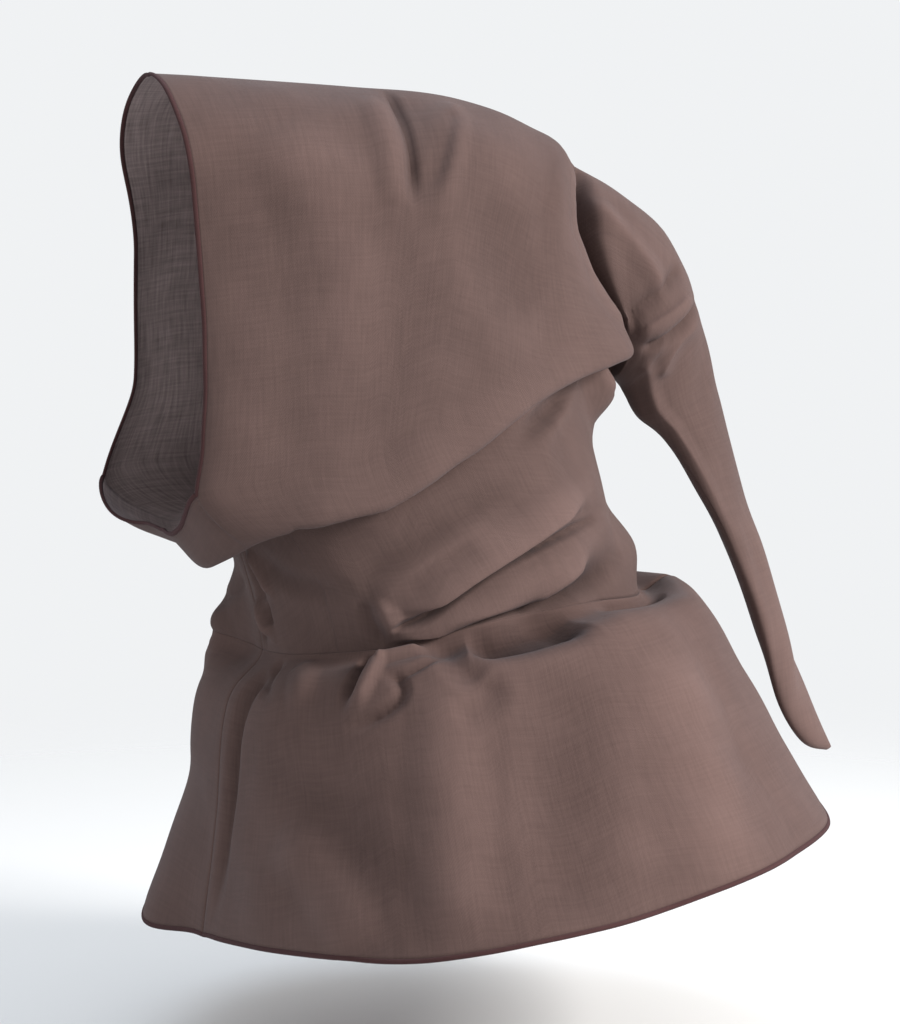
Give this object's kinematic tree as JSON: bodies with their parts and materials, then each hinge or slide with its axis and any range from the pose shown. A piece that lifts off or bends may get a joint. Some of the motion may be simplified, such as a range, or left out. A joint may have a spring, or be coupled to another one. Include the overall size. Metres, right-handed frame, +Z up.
{
  "type": "ranger hood",
  "caption": "Cloth hood with an open face, a shoulder cape that falls in soft folds and a long twisted tail hanging from the back of the crown.",
  "frame": {"origin": "inside of the crown, where the top of the wearer's head holds the hood", "axes": "+Z up, the wearer faces -Y, and the wearer's left is +X"},
  "size_m": [0.45, 0.4748, 0.5287],
  "materials": {
    "hood_cloth": "thin slubby plain-weave cotton, dusty brown, matt",
    "cape_cloth": "thin slubby plain-weave cotton, dusty brown, matt",
    "hem_cloth": "narrow rolled hem in the same cotton, sewn with dark maroon thread"
  },
  "bodies": {
    "root": {"hood_left": "hood_cloth", "hood_right": "hood_cloth", "liripipe": "hood_cloth", "cape_left": "cape_cloth", "cape_right": "cape_cloth", "face_hem": "hem_cloth", "cape_hem": "hem_cloth"}
  },
  "joints": []
}
